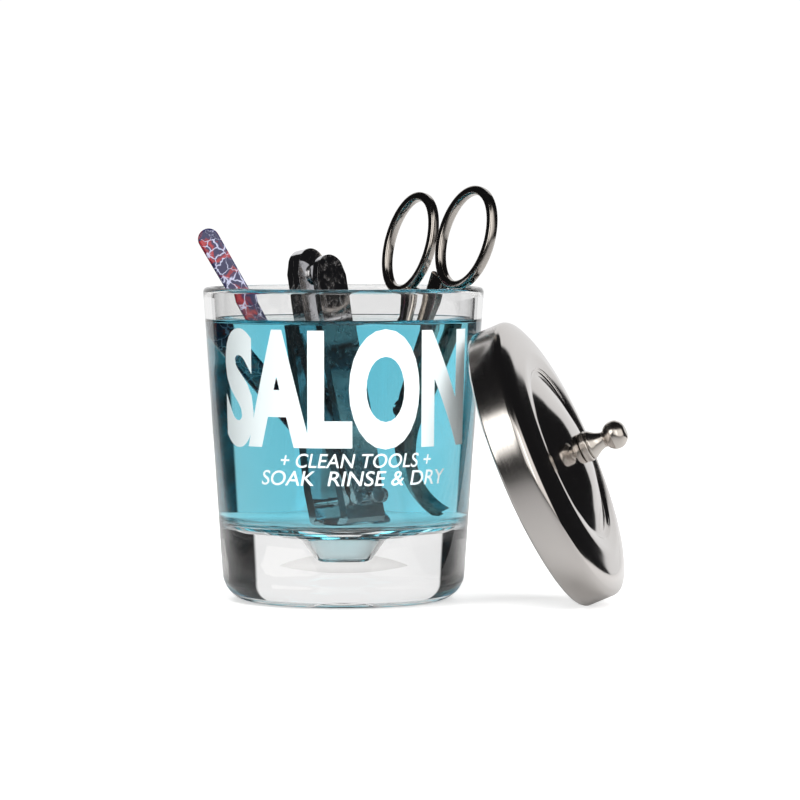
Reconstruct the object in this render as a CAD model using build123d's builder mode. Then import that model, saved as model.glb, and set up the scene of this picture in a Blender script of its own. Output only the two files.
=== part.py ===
from build123d import *
from math import cos, degrees, pi, radians, sin, sqrt
import os

# A small salon disinfectant jar: a thick-based clear glass jar, its pressed
# stainless lid leaning on the wall, and three manicure tools standing in it.
# Millimetres, +Z up. The origin is the centre of the jar's base, on the table.

os.makedirs("parts", exist_ok=True)

# --- the jar ---------------------------------------------------------------
JAR_HEIGHT = 94.0
JAR_FOOT_RADIUS = 35.9          # the outer cone carried down to the table
JAR_FLARE = 0.067               # how much the radius grows for each mm of height
GLASS_WALL = 3.0
FOOT_CORNER = 8.6               # rounding of the outer bottom corner
RIM_ROUND = 1.4
FLOOR_EDGE_HEIGHT = 23.6        # the thick base: the floor at the wall
FLOOR_CORNER = 3.2              # rounding of the inner bottom corner
FLOOR_MIDDLE_HEIGHT = 20.1      # the floor where the dimple starts
DIMPLE_TOP_RADIUS = 8.7
DIMPLE_BOTTOM_RADIUS = 5.2
DIMPLE_DEPTH = 7.0
DIMPLE_EDGE_ROUND = 1.6

# --- the lid, in its own frame: heights run up from the open edge of the skirt
LID_RADIUS = 43.65
LID_SHEET = 0.8
SKIRT_HEIGHT = 9.4
SKIRT_ROUND = 2.2
SHOULDER = (39.8, 11.9)         # radius, height
SHOULDER_ROUND = 6.0
CREST = (29.2, 13.3)
GROOVE = (26.4, 11.9)
DOME_HEIGHT = 16.8
LID_TILT = 23.1                 # the lid's axis above the horizontal
LID_TURN = -13.4                # and round from +X
LID_STAND = (56.0, -17.8)       # where the lid's open edge is centred, seen from above

# --- the lid's knob --------------------------------------------------------
COLLAR_RADIUS = 4.6
COLLAR_HEIGHT = 2.2
KNOB_BASE_RADIUS = 4.2
NECK_RADIUS = 2.2
NECK_HEIGHT = 5.3
BALL_RADIUS = 4.25
BALL_HEIGHT = 6.4
SCREW_RADIUS = 1.5
SCREW_HEAD_RADIUS = 2.9
SCREW_HEAD_HEIGHT = 1.7
WASHER_RADIUS = 4.0
WASHER_HEIGHT = 0.6

# --- the nail scissors: x across, y towards the rings, z along the pivot ----
SCISSOR_PIVOT = (14.5, 7.4, 58.2)
SCISSOR_RING_SIDE = (28.8, 7.4, 110.4)  # a point between the two rings
SCISSOR_TURN = -50.0
RING_HALF_WIDTH = 12.1
RING_HALF_LENGTH = 16.0
RING_BAND = 2.7
RING_THICK = 3.2
RING_SIDE = 12.45               # from the middle line to a ring's centre, shut
RING_REACH = 54.7               # from the pivot to the right ring's centre
LEFT_RING_HALF_WIDTH = 11.1     # the left ring is a little narrower
LEFT_RING_DROP = 6.2            # and sits this much nearer the pivot
SHANK_BEND_RADIUS = 14.0
BLADE_THICK = 1.9
BLADE_GAP = 0.12                # half the clearance between the two halves
BLADE_LENGTH = 35.0             # along the curve
BLADE_BEND_RADIUS = 36.0
SCISSOR_REST_OPENING = 1.0      # degrees between the halves at rest
PIVOT_RADIUS = 1.6
PIVOT_HEAD_RADIUS = 2.7

# --- the toenail clipper: x across, y from the jaws to the riveted end ------
CLIPPER_FOOT = (1.6, -11.2, 22.6)
CLIPPER_TOP = (-11.7, -4.5, 105.6)
CLIPPER_TURN = 50.0
CLIPPER_LENGTH = 84.0
CLIPPER_WIDTH = 14.0
ARM_THICK = 2.2
ARM_SPREAD = 4.0                # from the middle plane to an arm's inner face at the jaws
JAW_HALF_GAP = 0.9
POST_PLACE = 9.0                # from the jaws' edge
POST_RADIUS = 1.4
POST_HEAD_HEIGHT = 1.0
RIVET_PLACE = 76.0
RIVET_RADIUS = 1.8
LEVER_GAP = 4.8                 # from the riveted arms up to the lever's underside
LEVER_THICK = 2.0
LEVER_END = 81.0
HUMP_RADIUS = 2.2

# --- the cuticle pusher ------------------------------------------------------
PUSHER_FOOT = (8.6, 7.5, 22.4)
PUSHER_TOP = (-42.7, 14.0, 111.0)
PUSHER_WIDTH = 6.6
PUSHER_THICK = 2.2
HANDLE_START = 32.0             # from the foot to the lower end of the handle
STEM_RADIUS = 1.5
FERRULE_RADIUS = 2.1
SPOON_WIDTH = 5.0


def cone_radius(height):
    """The jar's outer radius at a height."""
    return JAR_FOOT_RADIUS + JAR_FLARE * height


def standing_plane(foot, top, turn):
    """A plane whose y runs from foot to top and whose x is turned from +X by an angle."""
    along = (Vector(top) - Vector(foot)).normalized()
    across = Vector(cos(radians(turn)), sin(radians(turn)), 0)
    facing = across.cross(along).normalized()
    return Plane(origin=foot, x_dir=along.cross(facing), z_dir=facing)


def side_of(plane):
    """The plane that looks at the given one from its side: x along its y, y along its z."""
    return Plane(origin=plane.origin, x_dir=plane.y_dir, z_dir=plane.x_dir)


def finish(piece, name):
    """Give a finished piece its name and write it."""
    piece.part.label = name
    export_step(piece.part, "parts/" + name + ".step")


# --- glass jar ---------------------------------------------------------------
inner_floor_radius = cone_radius(FLOOR_EDGE_HEIGHT) - GLASS_WALL
with BuildPart() as glass_jar:
    with BuildSketch(Plane.XZ) as jar_section:
        with BuildLine():
            Polyline(
                (0, 0),
                (JAR_FOOT_RADIUS, 0),
                (cone_radius(JAR_HEIGHT), JAR_HEIGHT),
                (cone_radius(JAR_HEIGHT) - GLASS_WALL, JAR_HEIGHT),
                (inner_floor_radius, FLOOR_EDGE_HEIGHT),
                (DIMPLE_TOP_RADIUS, FLOOR_MIDDLE_HEIGHT),
                (DIMPLE_BOTTOM_RADIUS, FLOOR_MIDDLE_HEIGHT - DIMPLE_DEPTH),
                (0, FLOOR_MIDDLE_HEIGHT - DIMPLE_DEPTH),
                close=True,
            )
        make_face()
        outer_foot = jar_section.vertices().sort_by_distance((JAR_FOOT_RADIUS, 0))[0]
        fillet(outer_foot, FOOT_CORNER)
        fillet(jar_section.vertices().group_by(Axis.Y)[-1], RIM_ROUND)
        floor_corner = jar_section.vertices().sort_by_distance((inner_floor_radius, FLOOR_EDGE_HEIGHT))[0]
        fillet(floor_corner, FLOOR_CORNER)
        dimple_edge = jar_section.vertices().sort_by_distance((DIMPLE_TOP_RADIUS, FLOOR_MIDDLE_HEIGHT))[0]
        fillet(dimple_edge, DIMPLE_EDGE_ROUND)
    revolve(axis=Axis.Z)
finish(glass_jar, "glass_jar")

# --- lid: pressed sheet, drawn in section and turned about its own axis -------
tilt = radians(LID_TILT)
turn = radians(LID_TURN)
lid_axis_direction = Vector(cos(tilt) * cos(turn), cos(tilt) * sin(turn), sin(tilt))
lid_outward = Vector(-sin(turn), cos(turn), 0)
lid_centre = Vector(LID_STAND[0], LID_STAND[1], LID_RADIUS * cos(tilt))
lid_section_plane = Plane(
    origin=lid_centre, x_dir=lid_outward, z_dir=lid_outward.cross(lid_axis_direction)
)
lid_plane = Plane(origin=lid_centre, x_dir=lid_outward, z_dir=lid_axis_direction)
lid_axis = Axis(origin=lid_centre, direction=lid_axis_direction)
dome_radius = (GROOVE[0] ** 2 + (DOME_HEIGHT - GROOVE[1]) ** 2) / (2 * (DOME_HEIGHT - GROOVE[1]))


def dome_height(radius):
    """The height of the lid's middle dome at a distance from its axis."""
    return DOME_HEIGHT - dome_radius + sqrt(dome_radius**2 - radius**2)


screw_hole = SCREW_RADIUS + 0.3
inside = LID_RADIUS - LID_SHEET
with BuildPart() as lid_shell:
    with BuildSketch(lid_section_plane) as lid_section:
        with BuildLine():
            ThreePointArc(
                (screw_hole, dome_height(screw_hole)),
                (GROOVE[0] / 2, dome_height(GROOVE[0] / 2)),
                GROOVE,
            )
            Polyline(GROOVE, CREST, SHOULDER, (LID_RADIUS, SKIRT_HEIGHT), (LID_RADIUS, 0), (inside, 0),
                     (inside, SKIRT_HEIGHT - LID_SHEET / 2), (SHOULDER[0] - 0.4, SHOULDER[1] - LID_SHEET),
                     (CREST[0], CREST[1] - LID_SHEET), (GROOVE[0], GROOVE[1] - LID_SHEET))
            ThreePointArc(
                (GROOVE[0], GROOVE[1] - LID_SHEET),
                (GROOVE[0] / 2, dome_height(GROOVE[0] / 2) - LID_SHEET),
                (screw_hole, dome_height(screw_hole) - LID_SHEET),
            )
            Line((screw_hole, dome_height(screw_hole) - LID_SHEET), (screw_hole, dome_height(screw_hole)))
        make_face()
    revolve(axis=lid_axis)
    ring_edges = lid_shell.edges().filter_by(GeomType.CIRCLE)
    shoulder_edges = ring_edges.filter_by(
        lambda e: abs(e.radius - LID_RADIUS) < 0.01 and (e.arc_center - lid_centre).length > SKIRT_HEIGHT / 2
    )
    fillet(shoulder_edges, SKIRT_ROUND)
    crown_edges = lid_shell.edges().filter_by(GeomType.CIRCLE)
    fillet(crown_edges.filter_by(lambda e: abs(e.radius - SHOULDER[0]) < 0.01), SHOULDER_ROUND)
finish(lid_shell, "lid_shell")

with BuildPart() as knob_collar:
    with BuildSketch(lid_plane.offset(DOME_HEIGHT)):
        Circle(COLLAR_RADIUS)
        Circle(SCREW_RADIUS + 0.2, mode=Mode.SUBTRACT)
    extrude(amount=COLLAR_HEIGHT)
    collar_rims = knob_collar.edges().filter_by(GeomType.CIRCLE)
    chamfer(collar_rims.filter_by(lambda e: abs(e.radius - COLLAR_RADIUS) < 0.01), 0.25)
finish(knob_collar, "knob_collar")

knob_base = DOME_HEIGHT + COLLAR_HEIGHT
ball_middle = knob_base + NECK_HEIGHT + BALL_HEIGHT / 2
with BuildPart() as lid_knob:
    with BuildSketch(lid_section_plane):
        with BuildLine():
            neck = ThreePointArc(
                (KNOB_BASE_RADIUS, knob_base + 0.4),
                (NECK_RADIUS + 0.45, knob_base + 0.5 * NECK_HEIGHT),
                (NECK_RADIUS, knob_base + NECK_HEIGHT),
            )
            ball = ThreePointArc(neck @ 1, (BALL_RADIUS, ball_middle), (1.2, knob_base + NECK_HEIGHT + BALL_HEIGHT))
            Polyline(ball @ 1, (0, (ball @ 1).Y), (0, knob_base), (KNOB_BASE_RADIUS, knob_base), neck @ 0)
        make_face()
    revolve(axis=lid_axis)
    with BuildSketch(lid_plane.offset(knob_base)):
        Circle(SCREW_RADIUS)
    extrude(amount=6.0, mode=Mode.SUBTRACT)
finish(lid_knob, "lid_knob")

roof_underside = dome_height(screw_hole) - LID_SHEET
with BuildPart() as knob_washer:
    with BuildSketch(lid_plane.offset(roof_underside - WASHER_HEIGHT - 0.1)):
        Circle(WASHER_RADIUS)
        Circle(SCREW_RADIUS + 0.2, mode=Mode.SUBTRACT)
    extrude(amount=WASHER_HEIGHT)
finish(knob_washer, "knob_washer")

head_top = roof_underside - WASHER_HEIGHT - 0.1
with BuildPart() as knob_screw:
    with BuildSketch(lid_plane.offset(head_top - SCREW_HEAD_HEIGHT)):
        Circle(SCREW_HEAD_RADIUS)
    extrude(amount=SCREW_HEAD_HEIGHT)
    outer_rim = knob_screw.edges().sort_by(lid_axis)[0]
    fillet(outer_rim, 0.7)
    with BuildSketch(lid_plane.offset(head_top)):
        Circle(SCREW_RADIUS - 0.03)
    extrude(amount=knob_base + 5.5 - head_top)
    with BuildSketch(lid_plane.offset(head_top - SCREW_HEAD_HEIGHT)):
        Rectangle(3.0, 0.7)
        Rectangle(0.7, 3.0)
    extrude(amount=0.9, mode=Mode.SUBTRACT)
finish(knob_screw, "knob_screw")

# --- nail scissors ------------------------------------------------------------
scissor_frame = standing_plane(SCISSOR_PIVOT, SCISSOR_RING_SIDE, SCISSOR_TURN)
bend_angle = BLADE_LENGTH / BLADE_BEND_RADIUS
blade_forward = BLADE_BEND_RADIUS * sin(bend_angle)


def scissor_half(side, name):
    """One half of the scissors: side -1 has the left ring, +1 the right one. The pivot
    and blade lie in a layer of their own, above the middle plane for the left half."""
    layer = -side
    half_turn = radians(-side * SCISSOR_REST_OPENING / 2)
    frame = Plane(
        origin=scissor_frame.origin,
        x_dir=scissor_frame.x_dir * cos(half_turn) + scissor_frame.y_dir * sin(half_turn),
        z_dir=scissor_frame.z_dir,
    )
    side_frame = side_of(frame)
    low = BLADE_GAP
    high = BLADE_GAP + BLADE_THICK
    reach = RING_REACH if side > 0 else RING_REACH - LEFT_RING_DROP
    ring_width = RING_HALF_WIDTH if side > 0 else LEFT_RING_HALF_WIDTH
    ring_place = RING_SIDE - RING_HALF_WIDTH + ring_width
    with BuildPart() as half:
        # the strip seen from the side: straight shank, then a blade bent about the x axis
        with BuildSketch(side_frame):
            with BuildLine():
                inner_radius = BLADE_BEND_RADIUS + layer * low
                outer_radius = BLADE_BEND_RADIUS + layer * high
                near = CenterArc((0, -BLADE_BEND_RADIUS), inner_radius, 90, degrees(bend_angle))
                far = CenterArc((0, -BLADE_BEND_RADIUS), outer_radius, 90, degrees(bend_angle))
                Line(near @ 1, far @ 1)
                Polyline(near @ 0, (reach - 8, layer * low), (reach - 8, layer * high), far @ 0)
            make_face()
        extrude(amount=RING_HALF_WIDTH, both=True)
        # the outline seen along the pivot
        with BuildSketch(frame) as outline:
            with BuildLine():
                Polyline(
                    (-side * 0.6, -blade_forward - 1.0),
                    (-side * 2.6, -0.62 * blade_forward),
                    (-side * 3.6, -0.2 * blade_forward),
                    (-side * 3.4, 2.5),
                    (side * 0.2, 12.0),
                    (side * 0.9, reach - RING_HALF_LENGTH + 4.0),
                    (side * 7.5, reach - RING_HALF_LENGTH + 1.5),
                    (side * 5.4, 26.0),
                    (side * 3.8, 4.0),
                    (side * 2.0, -4.5),
                    (side * 0.4, -0.6 * blade_forward),
                    close=True,
                )
            make_face()
            fillet(outline.vertices().sort_by_distance((side * 5.4, 26.0))[0], SHANK_BEND_RADIUS)
        extrude(amount=BLADE_BEND_RADIUS, both=True, mode=Mode.INTERSECT)
        # the finger ring, rounded all round
        ring_middle = (side * ring_place, reach)
        with BuildSketch(frame):
            with Locations(ring_middle):
                Ellipse(ring_width, RING_HALF_LENGTH)
                Ellipse(ring_width - RING_BAND, RING_HALF_LENGTH - RING_BAND, mode=Mode.SUBTRACT)
        extrude(amount=RING_THICK / 2, both=True)
        with BuildSketch(frame):
            Circle(PIVOT_RADIUS + 0.06)
        extrude(amount=10, both=True, mode=Mode.SUBTRACT)
    finish(half, name)
    return half


scissor_half_left = scissor_half(-1, "scissor_half_left")
scissor_half_right = scissor_half(1, "scissor_half_right")

pivot_reach = BLADE_GAP + BLADE_THICK
with BuildPart() as scissor_screw:
    with BuildSketch(scissor_frame):
        Circle(PIVOT_RADIUS)
    extrude(amount=pivot_reach + 0.3, both=True)
    with BuildSketch(scissor_frame.offset(pivot_reach + 0.15)):
        Circle(PIVOT_HEAD_RADIUS)
    extrude(amount=0.9)
    with BuildSketch(scissor_frame.offset(-pivot_reach - 0.75)):
        Circle(PIVOT_HEAD_RADIUS - 0.4)
    extrude(amount=0.6)
    with BuildSketch(scissor_frame.offset(pivot_reach + 0.6)):
        Rectangle(2 * PIVOT_HEAD_RADIUS + 1, 0.7)
    extrude(amount=0.6, mode=Mode.SUBTRACT)
finish(scissor_screw, "scissor_screw")

# --- toenail clipper ------------------------------------------------------------
clipper_frame = standing_plane(CLIPPER_FOOT, CLIPPER_TOP, CLIPPER_TURN)
clipper_side = side_of(clipper_frame)


def clipper_arm(face, name):
    """One spring arm: face -1 is the lower one, +1 the one under the lever."""
    with BuildPart() as arm:
        with BuildSketch(clipper_side) as strip:
            with BuildLine():
                Polyline(
                    (CLIPPER_LENGTH, face * 0.02),
                    (60, face * 0.02),
                    (13, face * ARM_SPREAD),
                    (4.2, face * ARM_SPREAD),
                    (0, face * JAW_HALF_GAP),
                    (1.6, face * (ARM_SPREAD + ARM_THICK - 0.9)),
                    (3.0, face * (ARM_SPREAD + ARM_THICK)),
                    (13, face * (ARM_SPREAD + ARM_THICK)),
                    (60, face * (ARM_THICK + 0.02)),
                    (CLIPPER_LENGTH, face * (ARM_THICK + 0.02)),
                    close=True,
                )
            make_face()
            fillet(strip.vertices().sort_by_distance((4.2, face * ARM_SPREAD))[0], 2.0)
        extrude(amount=CLIPPER_WIDTH / 2 + 1, both=True)
        with BuildSketch(clipper_frame) as outline:
            with BuildLine():
                half = CLIPPER_WIDTH / 2
                jaw = ThreePointArc((-half, 1.6), (0, 0), (half, 1.6))
                rear_side = half - 1.6
                rear_start = CLIPPER_LENGTH - 3.0
                rear = ThreePointArc((rear_side, rear_start), (0, CLIPPER_LENGTH), (-rear_side, rear_start))
                Polyline(jaw @ 1, (half, CLIPPER_LENGTH - 7), rear @ 0)
                Polyline(rear @ 1, (-half, CLIPPER_LENGTH - 7), jaw @ 0)
            make_face()
        extrude(amount=20, both=True, mode=Mode.INTERSECT)
        with BuildSketch(clipper_frame):
            with Locations((0, POST_PLACE)):
                Circle(POST_RADIUS + 0.15)
            with Locations((0, RIVET_PLACE)):
                Circle(RIVET_RADIUS)
        extrude(amount=20, both=True, mode=Mode.SUBTRACT)
    finish(arm, name)
    return arm


clipper_lower_arm = clipper_arm(-1, "clipper_lower_arm")
clipper_upper_arm = clipper_arm(1, "clipper_upper_arm")

with BuildPart() as clipper_rivet:
    with BuildSketch(clipper_frame.offset(-ARM_THICK - 0.8)):
        with Locations((0, RIVET_PLACE)):
            Circle(RIVET_RADIUS + 1.3)
    extrude(amount=0.75)
    with BuildSketch(clipper_frame):
        with Locations((0, RIVET_PLACE)):
            Circle(RIVET_RADIUS - 0.02)
    extrude(amount=ARM_THICK + 0.1, both=True)
    with BuildSketch(clipper_frame.offset(ARM_THICK + 0.05)):
        with Locations((0, RIVET_PLACE)):
            Circle(RIVET_RADIUS + 1.3)
    extrude(amount=0.75)
    with BuildSketch(clipper_frame):
        with Locations((0, RIVET_PLACE)):
            Circle(1.0)
    extrude(amount=10, both=True, mode=Mode.SUBTRACT)
finish(clipper_rivet, "clipper_rivet")

lever_underside = ARM_THICK + LEVER_GAP
hump_centre = ARM_SPREAD + ARM_THICK + 0.2 + HUMP_RADIUS
post_top = hump_centre + HUMP_RADIUS + 0.3 + POST_HEAD_HEIGHT
with BuildPart() as clipper_post:
    with BuildSketch(clipper_frame):
        with Locations((0, POST_PLACE)):
            Circle(POST_RADIUS)
    extrude(amount=post_top)
    with BuildSketch(clipper_frame.offset(-ARM_SPREAD - ARM_THICK - 0.1)):
        with Locations((0, POST_PLACE)):
            Circle(POST_RADIUS)
    extrude(amount=ARM_SPREAD + ARM_THICK + 0.2)
    with BuildSketch(clipper_frame.offset(-ARM_SPREAD - ARM_THICK - 1.3)):
        with Locations((0, POST_PLACE)):
            Circle(POST_RADIUS + 1.3)
    extrude(amount=1.2)
    with BuildSketch(clipper_frame.offset(post_top - POST_HEAD_HEIGHT)):
        with Locations((0, POST_PLACE)):
            Circle(POST_RADIUS + 1.0)
    extrude(amount=POST_HEAD_HEIGHT)
finish(clipper_post, "clipper_post")

lever_start = POST_PLACE - HUMP_RADIUS
with BuildPart() as clipper_lever:
    with BuildSketch(clipper_side):
        with BuildLine():
            Polyline(
                (POST_PLACE, lever_underside),
                (LEVER_END, lever_underside),
                (LEVER_END, lever_underside + LEVER_THICK),
                (POST_PLACE, lever_underside + LEVER_THICK),
                close=True,
            )
        make_face()
        with Locations((POST_PLACE, hump_centre)):
            Circle(HUMP_RADIUS)
    extrude(amount=CLIPPER_WIDTH / 2, both=True)
    with BuildSketch(clipper_frame):
        with BuildLine():
            front = 4.6
            back = CLIPPER_WIDTH / 2 - 0.4
            end = ThreePointArc((back - 1.4, LEVER_END - 2.6), (0, LEVER_END), (1.4 - back, LEVER_END - 2.6))
            Polyline(end @ 1, (-back, LEVER_END - 6.5), (-front - 1.4, 30), (-front, lever_start - 1),
                     (front, lever_start - 1), (front + 1.4, 30), (back, LEVER_END - 6.5), end @ 0)
        make_face()
    extrude(amount=20, both=True, mode=Mode.INTERSECT)
    with BuildSketch(clipper_frame.offset(lever_underside - 2)):
        with Locations((0, POST_PLACE - 1.5)):
            SlotCenterToCenter(6.0, 2 * POST_RADIUS + 0.7, rotation=90)
    extrude(amount=10, mode=Mode.SUBTRACT)
finish(clipper_lever, "clipper_lever")

# --- cuticle pusher ---------------------------------------------------------------
pusher_frame = standing_plane(PUSHER_FOOT, PUSHER_TOP, 0)
pusher_length = (Vector(PUSHER_TOP) - Vector(PUSHER_FOOT)).length
with BuildPart() as pusher_handle:
    with BuildSketch(pusher_frame) as handle_outline:
        with BuildLine():
            half = PUSHER_WIDTH / 2
            cap = ThreePointArc((half, pusher_length - half), (0, pusher_length), (-half, pusher_length - half))
            Polyline(cap @ 1, (-half * 0.8, HANDLE_START), (half * 0.8, HANDLE_START), cap @ 0)
        make_face()
    extrude(amount=PUSHER_THICK / 2, both=True)
    long_edges = pusher_handle.edges().filter_by(lambda e: e.length > 3)
    fillet(long_edges, 0.8)
finish(pusher_handle, "pusher_handle")

with BuildPart() as pusher_ferrule:
    with BuildSketch(Plane(origin=pusher_frame.origin + pusher_frame.y_dir * (HANDLE_START - 4.05),
                           x_dir=pusher_frame.x_dir, z_dir=pusher_frame.y_dir)):
        Circle(FERRULE_RADIUS)
        Circle(STEM_RADIUS + 0.02, mode=Mode.SUBTRACT)
    extrude(amount=4.0)
finish(pusher_ferrule, "pusher_ferrule")

with BuildPart() as pusher_spoon:
    with BuildSketch(Plane(origin=pusher_frame.origin + pusher_frame.y_dir * 8,
                           x_dir=pusher_frame.x_dir, z_dir=pusher_frame.y_dir)):
        Circle(STEM_RADIUS)
    extrude(amount=HANDLE_START - 8.05)
    with BuildSketch(pusher_frame):
        with BuildLine():
            half = SPOON_WIDTH / 2
            tip = ThreePointArc((-half, 2.2), (0, 0), (half, 2.2))
            Polyline(tip @ 1, (half, 4.5), (STEM_RADIUS * 0.9, 12), (-STEM_RADIUS * 0.9, 12), (-half, 4.5), tip @ 0)
        make_face()
    extrude(amount=0.5, both=True)
finish(pusher_spoon, "pusher_spoon")

rim_gap = min(
    sqrt(point.X**2 + point.Y**2) - cone_radius(point.Z)
    for point in [
        lid_centre
        + lid_outward * (LID_RADIUS * cos(pi * step / 180))
        + lid_axis_direction.cross(lid_outward) * (LID_RADIUS * sin(pi * step / 180))
        for step in range(360)
    ]
)
print("gap between the lid's edge and the jar's wall, mm:", round(rim_gap, 3))
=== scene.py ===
import bpy
import bmesh
import numpy as np
from math import acos, ceil, cos, degrees, pi, radians, sin, tan
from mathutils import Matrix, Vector


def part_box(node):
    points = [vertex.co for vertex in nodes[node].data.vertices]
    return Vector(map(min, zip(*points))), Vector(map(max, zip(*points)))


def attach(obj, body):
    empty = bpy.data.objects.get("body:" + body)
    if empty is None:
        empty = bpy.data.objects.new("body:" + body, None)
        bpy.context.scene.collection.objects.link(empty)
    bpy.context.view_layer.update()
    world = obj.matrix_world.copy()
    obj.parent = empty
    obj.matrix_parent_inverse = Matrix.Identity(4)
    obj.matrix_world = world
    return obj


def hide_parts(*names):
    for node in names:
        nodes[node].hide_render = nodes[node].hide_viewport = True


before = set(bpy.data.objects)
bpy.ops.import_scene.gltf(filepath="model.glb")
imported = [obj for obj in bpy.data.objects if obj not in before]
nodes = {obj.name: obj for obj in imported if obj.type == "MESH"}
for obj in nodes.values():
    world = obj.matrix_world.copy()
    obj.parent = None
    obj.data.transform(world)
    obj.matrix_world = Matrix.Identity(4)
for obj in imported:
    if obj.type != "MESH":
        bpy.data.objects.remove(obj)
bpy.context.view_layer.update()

MM = 0.001
LONGEST_STEP = 2.5

# --- driving sizes of the jar and lid, in millimetres ------------------------
JAR_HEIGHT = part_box("glass_jar")[1][2] / MM
JAR_FOOT_RADIUS = 35.9
JAR_FLARE = 0.067
GLASS_WALL = 3.0
FOOT_CORNER = 8.6
RIM_ROUND = 1.45
FLOOR_EDGE = 23.6
FLOOR_MIDDLE = 20.1
DIMPLE_TOP, DIMPLE_BOTTOM, DIMPLE_DEPTH = 8.7, 5.2, 7.0
LIQUID_LEVEL = 83.4
LIQUID_INTO_GLASS = 0.06
MENISCUS_CLIMB = 1.5
MENISCUS_REACH = 1.5

LID_RADIUS, LID_SHEET = 43.65, 0.8
LID_TILT, LID_TURN = radians(23.1), radians(-13.4)
LID_STAND = (56.0, -17.8)
DOME_HEIGHT = 16.8
SCREW_HOLE = 1.8
KNOB_HOLE = 1.7


def jar_radius(height):
    """The jar's outer radius at a height above the table: a slightly flared cone."""
    return JAR_FOOT_RADIUS + JAR_FLARE * height


# --- mesh tools -----------------------------------------------------------------
def new_piece(name, points, faces, body, slot, replaces=(), smooth=True):
    """A mesh object from an array of points in millimetres and a list of faces."""
    mesh = bpy.data.meshes.new(name)
    mesh.from_pydata((np.asarray(points) * MM).tolist(), [], faces)
    mesh.validate()
    piece = bpy.data.objects.new(name, mesh)
    bpy.context.scene.collection.objects.link(piece)
    if smooth:
        mesh.polygons.foreach_set("use_smooth", np.ones(len(mesh.polygons), bool))
    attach(piece, body)
    if replaces:
        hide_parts(*replaces)
    return piece


def rounded_path(corners):
    """A polyline through (x, y, radius) corners, each corner with a radius turned into a
    circular arc tangent to its two sides, in steps of about six degrees."""
    xy = np.array([corner[:2] for corner in corners], float)
    path = [xy[0]]
    for before, here, after, corner in zip(xy[:-2], xy[1:-1], xy[2:], corners[1:-1]):
        radius = corner[2]
        a, b = before - here, after - here
        a, b = a / np.linalg.norm(a), b / np.linalg.norm(b)
        half = acos(np.clip(a @ b, -1, 1)) / 2
        if radius <= 0 or half > pi / 2 - 1e-4:
            path.append(here)
            continue
        reach = radius / tan(half)
        middle = here + (a + b) / np.linalg.norm(a + b) * radius / sin(half)
        start, end = here + a * reach - middle, here + b * reach - middle
        swing = pi - 2 * half
        turn = np.sign(start[0] * end[1] - start[1] * end[0])
        angles = np.linspace(0, swing, max(6, ceil(degrees(swing) / 6)))[:, None] * turn
        quarter_on = np.array([-start[1], start[0]])
        path.extend(middle + np.cos(angles) * start + np.sin(angles) * quarter_on)
    path.append(xy[-1])
    return np.array(path)


def lathe(profile, segments=192):
    """A surface of revolution about z: (radius, height) points from pole to pole, or a
    closed ring of them, carried round by equal angles. Poles are single points."""
    radius, height = profile[:, 0], profile[:, 1]
    closed = radius[0] > 1e-6 or radius[-1] > 1e-6
    angle = np.arange(segments) * 2 * pi / segments
    rings = profile if closed else profile[1:-1]
    points = np.stack(
        [
            rings[:, 0, None] * np.cos(angle),
            rings[:, 0, None] * np.sin(angle),
            np.repeat(rings[:, 1, None], segments, 1),
        ],
        -1,
    ).reshape(-1, 3)
    count = len(rings)
    row = np.arange(count if closed else count - 1)
    ring, step = np.meshgrid(row, np.arange(segments), indexing="ij")
    following = (ring + 1) % count
    beside = (step + 1) % segments
    quads = np.stack(
        [ring * segments + step, following * segments + step, following * segments + beside,
         ring * segments + beside], -1
    ).reshape(-1, 4)
    faces = quads.tolist()
    if not closed:
        first, last = len(points), len(points) + 1
        points = np.vstack([points, [0, 0, height[0]], [0, 0, height[-1]]])
        here = np.arange(segments)
        after = (here + 1) % segments
        end = (count - 1) * segments
        faces += np.stack([np.full(segments, first), here, after], -1).tolist()
        faces += np.stack([np.full(segments, last), end + after, end + here], -1).tolist()
    return points, faces


def outward(piece):
    """Turns a closed piece's faces to point out of it."""
    mesh = bmesh.new()
    mesh.from_mesh(piece.data)
    bmesh.ops.recalc_face_normals(mesh, faces=mesh.faces)
    mesh.to_mesh(piece.data)
    mesh.free()
    return piece


def placed(points, matrix):
    """Points moved by a 3x4 placement."""
    return points @ matrix[:, :3].T + matrix[:, 3]


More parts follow.
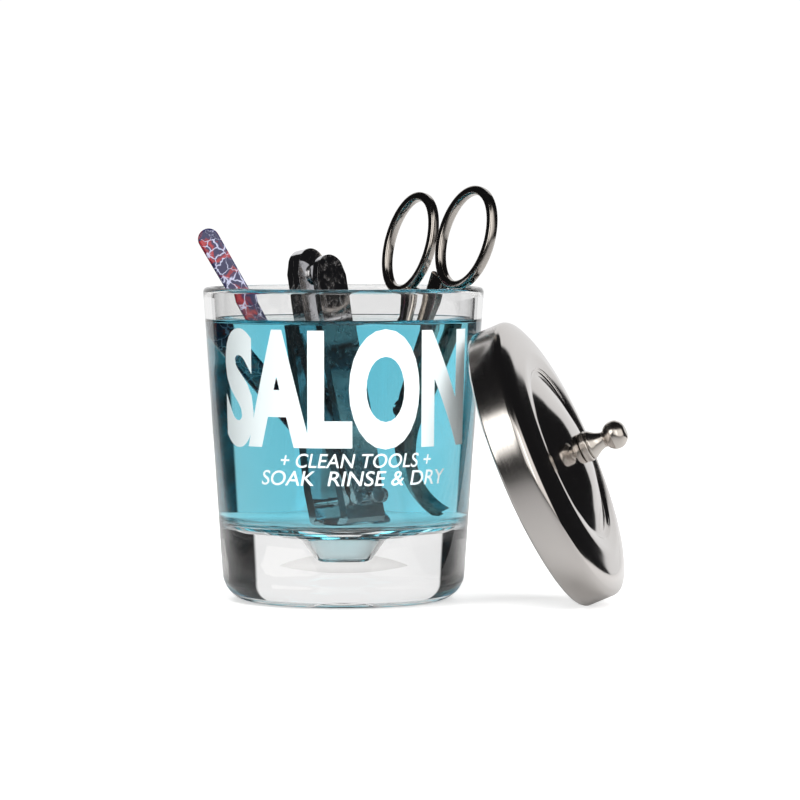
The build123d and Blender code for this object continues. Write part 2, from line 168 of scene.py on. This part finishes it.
# --- material tools ----------------------------------------------------------------
class Shading:
    """A short way to write a material's nodes."""

    def __init__(self, name):
        self.material = bpy.data.materials.new(name)
        self.material.use_nodes = True
        self.tree = self.material.node_tree
        self.shader = self.tree.nodes["Principled BSDF"]
        self.output = self.tree.nodes["Material Output"]

    def set(self, **values):
        """Constants on the shader's own sockets, with underscores for spaces."""
        for key, value in values.items():
            self.shader.inputs[key.replace("_", " ")].default_value = value
        return self

    def node(self, kind, inputs=(), **settings):
        """A node with its settings; an input is a constant or another node's output."""
        made = self.tree.nodes.new("ShaderNode" + kind)
        for key, value in settings.items():
            setattr(made, key, value)
        for key, value in dict(inputs).items():
            socket = made.inputs[key]
            if isinstance(value, bpy.types.NodeSocket):
                self.tree.links.new(value, socket)
            else:
                socket.default_value = value
        return made

    def math(self, kind, a, b=0.0):
        """One sum on one or two numbers."""
        return self.node("Math", {0: a, 1: b}, operation=kind).outputs[0]

    def stretch(self, value, start, end, low, high, kind="LINEAR"):
        """A number carried from one range to another, held at the ends."""
        inputs = {"Value": value, "From Min": start, "From Max": end, "To Min": low, "To Max": high}
        return self.node("MapRange", inputs, interpolation_type=kind).outputs[0]

    def link(self, source, target):
        """An output into one of the shader's own sockets."""
        self.tree.links.new(source, self.shader.inputs[target])

    def place(self):
        """The point on the object, in metres."""
        return self.node("TexCoord").outputs["Object"]

    def ramp(self, factor, stops):
        """Colours by a number, from (number, colour) stops."""
        made = self.node("ValToRGB", {"Fac": factor})
        ramp = made.color_ramp
        while len(ramp.elements) < len(stops):
            ramp.elements.new(1.0)
        for element, (at, color) in zip(ramp.elements, stops):
            element.position = at
            element.color = (*color, 1)
        return made.outputs["Color"]

    def bump(self, height, strength, distance):
        """Fine relief on the surface."""
        made = self.node("Bump", {"Height": height, "Strength": strength, "Distance": distance})
        self.link(made.outputs["Normal"], "Normal")


def paint(target, material):
    """Gives a piece or a CAD node one material."""
    target.data.materials.clear()
    target.data.materials.append(material)


# --- the glass jar and its liquid -----------------------------------------------------
def floor_corners():
    """The inside of the thick base, from the axis outwards: a dimple shaped like a cut-off
    cone, then a floor that rises in low round waves towards the wall."""
    foot = FLOOR_MIDDLE - DIMPLE_DEPTH
    return [
        (0, foot + 0.25, 0),
        (DIMPLE_BOTTOM, foot, 1.8),
        (DIMPLE_TOP, FLOOR_MIDDLE + 0.1, 1.6),
        (12.0, FLOOR_MIDDLE - 0.05, 2),
        (15.5, FLOOR_MIDDLE + 1.45, 3.5),
        (19.5, FLOOR_MIDDLE + 0.75, 4),
        (24.0, FLOOR_MIDDLE + 2.65, 4),
        (27.5, FLOOR_MIDDLE + 1.75, 4),
        (31.0, FLOOR_EDGE - 0.35, 5),
        (jar_radius(FLOOR_EDGE) - GLASS_WALL, FLOOR_EDGE + 0.1, 3.0),
    ]


def offset_path(path, amount):
    """A path moved sideways by an amount, to the right of its direction."""
    along = np.gradient(path, axis=0)
    along /= np.linalg.norm(along, axis=1)[:, None]
    return path + np.stack([along[:, 1], -along[:, 0]], 1) * amount


def with_steps(path, longest):
    """A path with extra points on its long stretches."""
    out = [path[:1]]
    for a, b in zip(path[:-1], path[1:]):
        count = max(1, ceil(np.linalg.norm(b - a) / longest))
        out.append(a + (b - a) * (np.arange(1, count + 1) / count)[:, None])
    return np.vstack(out)


def glass_profile():
    """The jar in section, from the underside's middle round the outside, over the
    fire-polished rim and down the inside to the middle of the dimple."""
    top = jar_radius(JAR_HEIGHT)
    outside = [
        (0, 0, 0),
        (JAR_FOOT_RADIUS, 0, FOOT_CORNER),
        (top, JAR_HEIGHT, RIM_ROUND),
        (top - GLASS_WALL, JAR_HEIGHT, RIM_ROUND),
    ]
    return with_steps(rounded_path(outside + floor_corners()[::-1]), LONGEST_STEP)


def liquid_profile():
    """The liquid in section: its underside and side lie a hair inside the glass, and its
    surface climbs the wall in a meniscus that falls off exponentially."""
    wall = jar_radius(LIQUID_LEVEL) - GLASS_WALL
    inside = rounded_path(floor_corners() + [(jar_radius(JAR_HEIGHT) - GLASS_WALL, JAR_HEIGHT, 0)])
    inside = with_steps(offset_path(inside, LIQUID_INTO_GLASS), LONGEST_STEP)
    inside[0, 0] = 0
    inside = inside[inside[:, 1] < LIQUID_LEVEL + MENISCUS_CLIMB - 0.1]
    radius = np.append(wall + LIQUID_INTO_GLASS - np.geomspace(0.02, 7.0, 14), [20.0, 0.0])
    surface = LIQUID_LEVEL + MENISCUS_CLIMB * np.exp(-(wall - radius) / MENISCUS_REACH)
    return np.vstack([inside, np.stack([radius, surface], 1)])


glass = outward(new_piece("jar_glass", *lathe(glass_profile(), 256), "jar", "clear_glass", ["glass_jar"]))
liquid = outward(new_piece("disinfectant", *lathe(liquid_profile(), 256), "jar", "disinfectant"))


def clear_glass():
    """Colourless pressed glass."""
    m = Shading("clear_glass")
    m.set(Base_Color=(1, 1, 1, 1), Roughness=0.0, IOR=1.5, Transmission_Weight=1.0)
    return m.material


def cyan_liquid():
    """Clear water tinted blue-green: it takes the red out of light by distance."""
    m = Shading("cyan_liquid")
    m.set(Base_Color=(1, 1, 1, 1), Roughness=0.0, IOR=1.333, Transmission_Weight=1.0)
    absorb = m.node("VolumeAbsorption", {"Color": (0.085, 0.81, 0.925, 1), "Density": 26.0})
    m.tree.links.new(absorb.outputs["Volume"], m.output.inputs["Volume"])
    return m.material


paint(glass, clear_glass())
paint(liquid, cyan_liquid())


# --- the white print -------------------------------------------------------------------
PRINT_STAND_OFF, PRINT_THICK = 0.03, 0.05


def flat_words(text, width, height, slant, weight):
    """Flat lettering as a bmesh, centred on x, its foot at y 0, in millimetres."""
    curve = bpy.data.curves.new("words", "FONT")
    curve.body = text
    curve.offset = weight
    curve.resolution_u = 6
    holder = bpy.data.objects.new("words", curve)
    bpy.context.scene.collection.objects.link(holder)
    bpy.context.view_layer.update()
    evaluated = holder.evaluated_get(bpy.context.evaluated_depsgraph_get())
    flat = bpy.data.meshes.new_from_object(evaluated)
    bpy.data.objects.remove(holder)
    mesh = bmesh.new()
    mesh.from_mesh(flat)
    bpy.data.meshes.remove(flat)
    points = np.array([v.co[:2] for v in mesh.verts])
    low, high = points.min(0), points.max(0)
    points = (points - low) / (high - low)
    x = (points[:, 0] - 0.5) * width + points[:, 1] * height * slant
    for vertex, across, up in zip(mesh.verts, x, points[:, 1] * height):
        vertex.co = (across, up, 0)
    return mesh


def wrapped_print(name, mesh, foot_height, middle):
    """Flat shapes laid on the front of the jar's cone: cut into narrow strips, x carried
    round the wall as an angle and y up it, then given the thickness of fired ink."""
    reach = max(abs(v.co.x) for v in mesh.verts)
    for cut in np.arange(-reach + 1.0, reach, 1.0):
        geometry = mesh.verts[:] + mesh.edges[:] + mesh.faces[:]
        bmesh.ops.bisect_plane(mesh, geom=geometry, plane_co=(cut, 0, 0), plane_no=(1, 0, 0))
    bmesh.ops.triangulate(mesh, faces=mesh.faces[:])
    mesh.verts.index_update()
    flat = np.array([v.co[:2] for v in mesh.verts])
    faces = [[v.index for v in f.verts] for f in mesh.faces]
    edges = [[v.index for v in e.verts] for e in mesh.edges if e.is_boundary]
    mesh.free()
    height = foot_height + flat[:, 1]
    angle = (flat[:, 0] + middle) / jar_radius(height)

    def skin(depth):
        radius = jar_radius(height) + depth
        return np.stack([radius * np.sin(angle), -radius * np.cos(angle), height], 1)

    count = len(flat)
    points = np.vstack([skin(PRINT_STAND_OFF + PRINT_THICK), skin(PRINT_STAND_OFF)])
    back = [[i + count for i in f[::-1]] for f in faces]
    sides = [[a, b, b + count, a + count] for a, b in edges]
    piece = new_piece(name, points, faces + back + sides, "jar", "white_print", smooth=False)
    return outward(piece)


def white_ink():
    """Fired white ink, with a painted blue tint that stands for the liquid's light showing through it from
    behind.
    """
    m = Shading("white_ink")
    # the white is given a painted blue tint, for the liquid's light showing through from behind
    m.set(Base_Color=(0.86, 0.95, 0.97, 1), Roughness=0.35, Specular_IOR_Level=0.4)
    return m.material


ink = white_ink()
# each line's words, width, height, slant and stroke weight, and where its foot and middle are
for name, text, width, height, slant, weight, foot_height, middle in (
    ("print_main", "SALON", 85, 35.2, 0.0, 0.045, 47.3, 1.5),
    ("print_line_1", "+ CLEAN TOOLS +", 47, 4.2, 0.2, 0.006, 41.9, 4.5),
    ("print_line_2", "SOAK  RINSE & DRY", 59, 4.4, 0.2, 0.006, 36.6, 4.0),
):
    words = flat_words(text, width, height, slant, weight)
    paint(wrapped_print(name, words, foot_height, middle), ink)


# --- the lid ----------------------------------------------------------------------------
lid_up = Vector((cos(LID_TILT) * cos(LID_TURN), cos(LID_TILT) * sin(LID_TURN), sin(LID_TILT)))
lid_across = Vector((-sin(LID_TURN), cos(LID_TURN), 0))
lid_back = lid_up.cross(lid_across)
LID_PLACE = np.array([
    [lid_across.x, lid_back.x, lid_up.x, LID_STAND[0]],
    [lid_across.y, lid_back.y, lid_up.y, LID_STAND[1]],
    [lid_across.z, lid_back.z, lid_up.z, LID_RADIUS * cos(LID_TILT)],
])


def lid_profile():
    """The pressed lid in section: dome, groove, lip, crown, shoulder and skirt, then the
    same path back inside it, one sheet thickness away."""
    outer = rounded_path([
        (SCREW_HOLE, DOME_HEIGHT - 0.02, 0),
        (9.0, DOME_HEIGHT - 0.35, 40),
        (19.5, 13.75, 45),
        (26.2, 11.75, 2.2),
        (27.3, 12.85, 0.9),
        (31.5, 13.35, 9),
        (39.8, 11.8, 16),
        (LID_RADIUS, 9.9, 2.4),
        (LID_RADIUS, 0.5, 0.4),
        (LID_RADIUS - 0.35, 0, 0),
    ])
    inner = offset_path(outer, LID_SHEET)[:-2]
    inner[:, 0] = np.minimum(inner[:, 0], LID_RADIUS - LID_SHEET)
    foot = [(LID_RADIUS - LID_SHEET, 0.02)]
    return with_steps(np.vstack([outer, foot, inner[::-1]]), 1.5)


points, faces = lathe(lid_profile(), 320)
lid = outward(new_piece("lid_pressing", placed(points, LID_PLACE), faces, "lid", "lid_steel", ["lid_shell"]))


def ring_coordinates(piece, local):
    """Keeps each point's place on the turned part, before the part was set where it goes,
    as an attribute: x and y across the axis and z along it, in millimetres."""
    layer = piece.data.attributes.new("turned", "FLOAT_VECTOR", "POINT")
    layer.data.foreach_set("vector", np.asarray(local, np.float32).ravel())


ring_coordinates(lid, points)


def steel(name, color, roughness, brush, skirt_roughness=None, skirt_top=0.0):
    """Steel brushed round its own axis: noise stretched along the turning direction, read
    from the radius and height of the turned place. A skirt may be duller than the rest."""
    m = Shading(name)
    m.set(Metallic=1.0, Base_Color=(*color, 1))
    turned = m.node("Attribute", attribute_name="turned").outputs["Vector"]
    parts = m.node("SeparateXYZ", {"Vector": turned})
    x, y, z = (parts.outputs[i] for i in range(3))
    across = m.node("CombineXYZ", {"X": x, "Y": y}).outputs[0]
    radius = m.node("VectorMath", {0: across}, operation="LENGTH").outputs["Value"]
    angle = m.math("MULTIPLY", m.math("ARCTAN2", y, x), 0.6)
    stretched = m.node("CombineXYZ", {"X": radius, "Y": z, "Z": angle})
    noise = m.node("TexNoise", {"Vector": stretched.outputs[0], "Scale": 10.8, "Detail": 4.0})
    satin_edge = skirt_roughness or roughness
    crown = m.stretch(z, skirt_top - 1.0, skirt_top + 0.6, satin_edge, roughness)
    smear = m.stretch(noise.outputs["Fac"], 0.3, 0.7, 0.75, 1.35)
    m.link(m.math("MULTIPLY", crown, smear), "Roughness")
    m.bump(noise.outputs["Fac"], brush, 0.00002)
    return m.material


spun = steel("spun_steel", (0.64, 0.61, 0.59), 0.085, 0.05, skirt_roughness=0.17, skirt_top=9.6)
paint(lid, spun)

# the knob's seat ring, then the knob from its foot to the top of its ball
KNOB_FOOT = DOME_HEIGHT
collar = rounded_path([
    (KNOB_HOLE, KNOB_FOOT + 0.02, 0),
    (4.55, KNOB_FOOT + 0.02, 0.3),
    (4.6, KNOB_FOOT + 2.15, 0.35),
    (KNOB_HOLE, KNOB_FOOT + 2.15, 0),
])
knob = rounded_path([
    (0, KNOB_FOOT + 2.22, 0),
    (4.2, KNOB_FOOT + 2.22, 0.25),
    (4.3, KNOB_FOOT + 2.9, 0.8),
    (2.75, KNOB_FOOT + 5.0, 7),
    (2.2, KNOB_FOOT + 7.3, 1.0),
    (3.2, KNOB_FOOT + 7.9, 0.5),
    (4.25, KNOB_FOOT + 9.4, 2.3),
    (4.25, KNOB_FOOT + 11.8, 2.5),
    (2.4, KNOB_FOOT + 13.8, 2.3),
    (0, KNOB_FOOT + 13.85, 0),
])
satin = steel("satin_steel", (0.62, 0.58, 0.54), 0.2, 0.2)
for name, profile, node in (("knob_seat", collar, "knob_collar"), ("ball_knob", knob, "lid_knob")):
    points, faces = lathe(with_steps(profile, 0.5), 96)
    piece = new_piece(name, placed(points, LID_PLACE), faces, "lid", "knob_steel", [node])
    ring_coordinates(outward(piece), points)
    paint(piece, satin)


# --- the tools: the CAD shapes with their edges rounded ----------------------------------
MERGE_WITHIN = 0.000004
SHARP_ANGLE = radians(28)
RINGS_FROM, RING_ROUND = 84.0, 1.0


def bevelled(mesh, edges, width, steps, clamp):
    """Rounds a mesh's edges by a width in millimetres."""
    bmesh.ops.bevel(mesh, geom=edges, offset=width * MM, segments=steps, profile=0.5,
                    affect="EDGES", clamp_overlap=clamp, harden_normals=False)


def eased(node_name, name, body, width, finger_ring=False):
    """A merged copy of a CAD node, in one frame with it, whose sharp corners are rounded by
    a width in millimetres. It takes the node's place. The finger rings at the top of a
    scissor half are rounded more, into bars with a nearly round section."""
    source = nodes[node_name]
    mesh = bmesh.new()
    mesh.from_mesh(source.data)
    mesh.transform(source.matrix_world)
    bmesh.ops.remove_doubles(mesh, verts=mesh.verts, dist=MERGE_WITHIN)
    bmesh.ops.dissolve_limit(mesh, angle_limit=radians(1.0), verts=mesh.verts, edges=mesh.edges)
    sharp = [e for e in mesh.edges if e.is_manifold and e.calc_face_angle(0) > SHARP_ANGLE]
    if finger_ring:
        high = [e for e in sharp if min(v.co.z for v in e.verts) > RINGS_FROM * MM]
        sharp = [e for e in sharp if max(v.co.z for v in e.verts) < RINGS_FROM * MM]
        bevelled(mesh, high, RING_ROUND, 4, clamp=False)
        sharp = [e for e in sharp if e.is_valid]
    bevelled(mesh, sharp, width, 3, clamp=True)
    bmesh.ops.remove_doubles(mesh, verts=mesh.verts, dist=MERGE_WITHIN / 2)
    bmesh.ops.triangulate(mesh, faces=mesh.faces[:])
    bmesh.ops.recalc_face_normals(mesh, faces=mesh.faces[:])
    copy = bpy.data.meshes.new(name)
    mesh.to_mesh(copy)
    mesh.free()
    copy.polygons.foreach_set("use_smooth", np.ones(len(copy.polygons), bool))
    piece = bpy.data.objects.new(name, copy)
    bpy.context.scene.collection.objects.link(piece)
    even = piece.modifiers.new("even_normals", "WEIGHTED_NORMAL")
    even.weight = 90
    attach(piece, body)
    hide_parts(node_name)
    return piece


def polished(name, color, roughness, mottle, scale=900.0, scratches=0.0):
    """Polished metal with faint cloudy marks that spread the highlights a little, and
    hairline scratches that do not run one way."""
    m = Shading(name)
    m.set(Metallic=1.0, Base_Color=(*color, 1))
    marks = m.node("TexNoise", {"Vector": m.place(), "Scale": scale, "Detail": 6.0,
                                "Roughness": 0.62, "Distortion": 0.6})
    smear = m.stretch(marks.outputs["Fac"], 0.47, 0.66, roughness, roughness + mottle)
    m.link(smear, "Roughness")
    if scratches:
        lines = m.node("TexNoise", {"Vector": m.place(), "Scale": 2600.0, "Detail": 2.0, "Distortion": 3.0})
        m.bump(lines.outputs["Fac"], scratches, 0.00002)
    return m.material


dark_nickel = polished("dark_nickel", (0.46, 0.43, 0.40), 0.10, 0.12, scratches=0.05)
bright_chrome = polished("bright_chrome", (0.70, 0.70, 0.71), 0.03, 0.10)
marked_chrome = polished("marked_chrome", (0.62, 0.62, 0.64), 0.04, 0.30, scale=420.0, scratches=0.10)
plain_steel = polished("plain_steel", (0.55, 0.55, 0.55), 0.22, 0.15)

# CAD node, its visual piece, body, slot, edge rounding in millimetres, and metal
for node_name, name, body, slot, width, material in (
    ("scissor_half_left", "scissors_left", "scissor_left", "scissor_steel", 0.3, dark_nickel),
    ("scissor_half_right", "scissors_right", "scissors", "scissor_steel", 0.3, dark_nickel),
    ("scissor_screw", "scissors_pivot", "scissors", "scissor_steel", 0.2, dark_nickel),
    ("clipper_lower_arm", "clipper_arm_back", "clipper", "clipper_chrome", 0.55, bright_chrome),
    ("clipper_upper_arm", "clipper_arm_front", "clipper", "clipper_chrome", 0.55, bright_chrome),
    ("clipper_lever", "clipper_thumb_lever", "lever", "clipper_chrome", 0.6, marked_chrome),
    ("clipper_rivet", "clipper_rivet_ring", "clipper", "clipper_chrome", 0.2, bright_chrome),
    ("clipper_post", "clipper_pin", "clipper", "clipper_chrome", 0.25, bright_chrome),
    ("pusher_ferrule", "pusher_collar", "pusher", "pusher_steel", 0.15, bright_chrome),
    ("pusher_spoon", "pusher_blade", "pusher", "pusher_steel", 0.2, bright_chrome),
):
    finger_ring = node_name.startswith("scissor_half")
    paint(eased(node_name, name, body, width, finger_ring), material)
for name in ("knob_washer", "knob_screw"):
    paint(nodes[name], plain_steel)


SCALES_PER_METRE, WARP = 330.0, 0.0035


def reptile_print():
    """Dark navy scales between pale, uneven veins, with crimson running through them,
    under clear lacquer."""
    m = Shading("reptile_print")
    m.set(Roughness=0.14, Coat_Weight=0.7, Coat_Roughness=0.04)
    warp = m.node("TexNoise", {"Vector": m.place(), "Scale": SCALES_PER_METRE, "Detail": 3.0})
    pushed = m.node("VectorMath", {0: warp.outputs["Color"], 1: (0.5, 0.5, 0.5)}, operation="SUBTRACT")
    moved = m.node("VectorMath", {0: pushed.outputs[0], 1: (WARP, WARP, WARP), 2: m.place()},
                   operation="MULTIPLY_ADD").outputs[0]
    cells = m.node("TexVoronoi", {"Vector": moved, "Scale": SCALES_PER_METRE}, feature="DISTANCE_TO_EDGE")
    clouds = m.node("TexNoise", {"Vector": moved, "Scale": 150.0, "Detail": 3.0})
    streaks = m.node("TexNoise", {"Vector": moved, "Scale": 210.0, "Detail": 4.0, "Distortion": 1.2})
    scale_color = m.ramp(streaks.outputs["Fac"], [
        (0.0, (0.012, 0.014, 0.05)),
        (0.5, (0.02, 0.02, 0.075)),
        (0.58, (0.20, 0.015, 0.03)),
        (0.67, (0.34, 0.03, 0.04)),
    ])
    width = m.stretch(clouds.outputs["Fac"], 0.42, 0.62, 0.01, 0.13)
    vein = m.stretch(cells.outputs["Distance"], 0.0, width, 1.0, 0.0, "SMOOTHSTEP")
    mixed = m.node("Mix", {"Factor": vein, 6: scale_color, 7: (0.50, 0.52, 0.70, 1)}, data_type="RGBA")
    m.link(mixed.outputs[2], "Base Color")
    return m.material


paint(eased("pusher_handle", "pusher_grip", "pusher", 0.3), reptile_print())

# --- floor, light and camera ------------------------------------------------------------
FLOOR_RADIUS = 0.9
LEFT_LIMIT = (-0.10, -0.72)    # where the painted pool of light ends on the left, beside the jar and 1 m behind
FRONT_LIMIT = (-0.38, 0.14)    # and over what distance it fades into painted shade towards the front


def pale_floor():
    """A pale table that the camera sees evenly bright. What the object itself mirrors is
    a pool of light painted on the table: pale under and behind it, falling off into painted shade to the
    left and the front."""
    m = Shading("pale_floor")
    m.set(Roughness=0.7, Specular_IOR_Level=0.1)
    parts = m.node("SeparateXYZ", {"Vector": m.place()})
    x, y = parts.outputs["X"], parts.outputs["Y"]
    # painted light and shade: as the object mirrors it, the table is pale inside a painted pool of light and
    # dark outside it
    past = m.math("SUBTRACT", x, m.stretch(y, 0.0, 1.0, *LEFT_LIMIT))
    lit = m.stretch(past, -0.04, 0.03, 0.0, 1.0, "SMOOTHSTEP")
    front = m.stretch(y, *FRONT_LIMIT, 0.0, 1.0, "SMOOTHSTEP")
    seen = m.node("LightPath").outputs["Is Camera Ray"]
    shown = m.math("MAXIMUM", m.math("MULTIPLY", lit, front), seen)
    # 0.03 is painted shade outside the pool of light; 0.82 is the pale table inside it and wherever the
    # camera looks
    m.link(m.ramp(shown, [(0.0, (0.03, 0.03, 0.03)), (1.0, (0.82, 0.82, 0.82))]), "Base Color")
    m.set(Emission_Color=(1, 1, 1, 1))
    m.link(m.stretch(seen, 0.0, 1.0, 0.0, 0.55), "Emission Strength")
    return m.material


floor_mesh = bpy.data.meshes.new("floor")
angles = np.linspace(0, 2 * pi, 96, endpoint=False)
edge_x, edge_y = FLOOR_RADIUS * np.cos(angles), FLOOR_RADIUS * np.sin(angles)
floor_points = np.stack([edge_x, edge_y, np.full(96, -0.0002)], 1)
floor_mesh.from_pydata(floor_points.tolist(), [], [list(range(96))])
floor = bpy.data.objects.new("floor", floor_mesh)
bpy.context.scene.collection.objects.link(floor)
paint(floor, pale_floor())

# soft-edged bright cards around the object: the way to each one's middle (degrees round
# from +Y towards +X, and up), its half width and half height, its edge, and its light
CARDS = [
    (-4, 6, 37, 36, 0.03, (0.86, 0.86, 0.86)),
    (134, 22, 34, 24, 0.20, (1.15, 1.12, 1.08)),
    (176, 25, 22, 22, 0.08, (1.15, 1.12, 1.08)),
    (-137, 23, 10, 15, 0.05, (2.6, 2.55, 2.45)),
]
DARK = (0.012, 0.012, 0.013)
BACKDROP = (1.05, 1.05, 1.05, 1)


def studio_world():
    """Bright cards in a dark room, by the direction of the ray; rays from the camera
    itself see a plain white backdrop."""
    world = bpy.data.worlds.new("studio")
    world.use_nodes = True
    tree = world.node_tree
    tree.nodes.clear()

    def node(kind, inputs=(), **settings):
        made = tree.nodes.new("ShaderNode" + kind)
        for key, value in settings.items():
            setattr(made, key, value)
        for key, value in dict(inputs).items():
            if isinstance(value, bpy.types.NodeSocket):
                tree.links.new(value, made.inputs[key])
            else:
                made.inputs[key].default_value = value
        return made

    def along(direction, axis):
        return node("VectorMath", {0: direction, 1: axis}, operation="DOT_PRODUCT").outputs["Value"]

    def math(kind, a, b=0.0):
        return node("Math", {0: a, 1: b}, operation=kind).outputs[0]

    direction = node("TexCoord").outputs["Generated"]
    total = DARK + (1,)
    for turn, rise, half_width, half_height, edge, light in CARDS:
        t, e = radians(turn), radians(rise)
        facing = (sin(t) * cos(e), cos(t) * cos(e), sin(e))
        across = (cos(t), -sin(t), 0.0)
        upward = (-sin(t) * sin(e), -cos(t) * sin(e), cos(e))
        ahead = along(direction, facing)
        inside = math("GREATER_THAN", ahead, 0.0)
        for axis, half in ((across, half_width), (upward, half_height)):
            place = math("ABSOLUTE", math("DIVIDE", along(direction, axis), ahead))
            reach = tan(radians(half))
            limits = {"Value": place, "From Min": reach + edge, "From Max": reach - edge}
            faded = node("MapRange", limits, interpolation_type="SMOOTHSTEP").outputs[0]
            inside = math("MULTIPLY", inside, faded)
        card = {"Fac": inside, "Color1": (0, 0, 0, 1), "Color2": (*light, 1)}
        lit = node("MixRGB", card).outputs[0]
        sum_of_both = {"Fac": 1.0, "Color1": total, "Color2": lit}
        total = node("MixRGB", sum_of_both, blend_type="ADD").outputs[0]
    camera_ray = node("LightPath").outputs["Is Camera Ray"]
    chosen = node("MixRGB", {"Fac": camera_ray, "Color1": total, "Color2": BACKDROP})
    background = node("Background", {"Color": chosen.outputs[0]})
    node("OutputWorld", {"Surface": background.outputs[0]})
    bpy.context.scene.world = world


studio_world()


def softbox(name, place, target, width, height, power):
    """A rectangular light that faces a target."""
    light = bpy.data.lights.new(name, "AREA")
    light.shape, light.size, light.size_y, light.energy = "RECTANGLE", width, height, power
    holder = bpy.data.objects.new(name, light)
    holder.location = place
    holder.rotation_euler = (Vector(target) - Vector(place)).to_track_quat("-Z", "Y").to_euler()
    holder.visible_glossy = False
    holder.visible_transmission = False
    bpy.context.scene.collection.objects.link(holder)


MIDDLE = (0.01696, 0.0, 0.06)
softbox("key_light", (-0.5, -0.5, 1.3), MIDDLE, 0.7, 0.7, 9)
softbox("fill_light", (0.6, 0.3, 1.3), MIDDLE, 0.7, 0.7, 10.5)
softbox("front_light", (0.45, -1.25, 0.45), MIDDLE, 0.8, 0.8, 17)

camera_data = bpy.data.cameras.new("camera")
camera_data.lens, camera_data.sensor_width = 189.0, 36.0
camera = bpy.data.objects.new("camera", camera_data)
camera.location = (MIDDLE[0], -1.261, 0.120)
camera.rotation_euler = (Vector(MIDDLE) - camera.location).to_track_quat("-Z", "Y").to_euler()
bpy.context.scene.collection.objects.link(camera)
bpy.context.scene.camera = camera
bpy.context.scene.view_settings.view_transform = "Standard"

# light has to pass many glass and liquid surfaces
cycles = bpy.context.scene.cycles
cycles.transmission_bounces = 24
cycles.max_bounces = 28
cycles.glossy_bounces = 12
cycles.transparent_max_bounces = 16
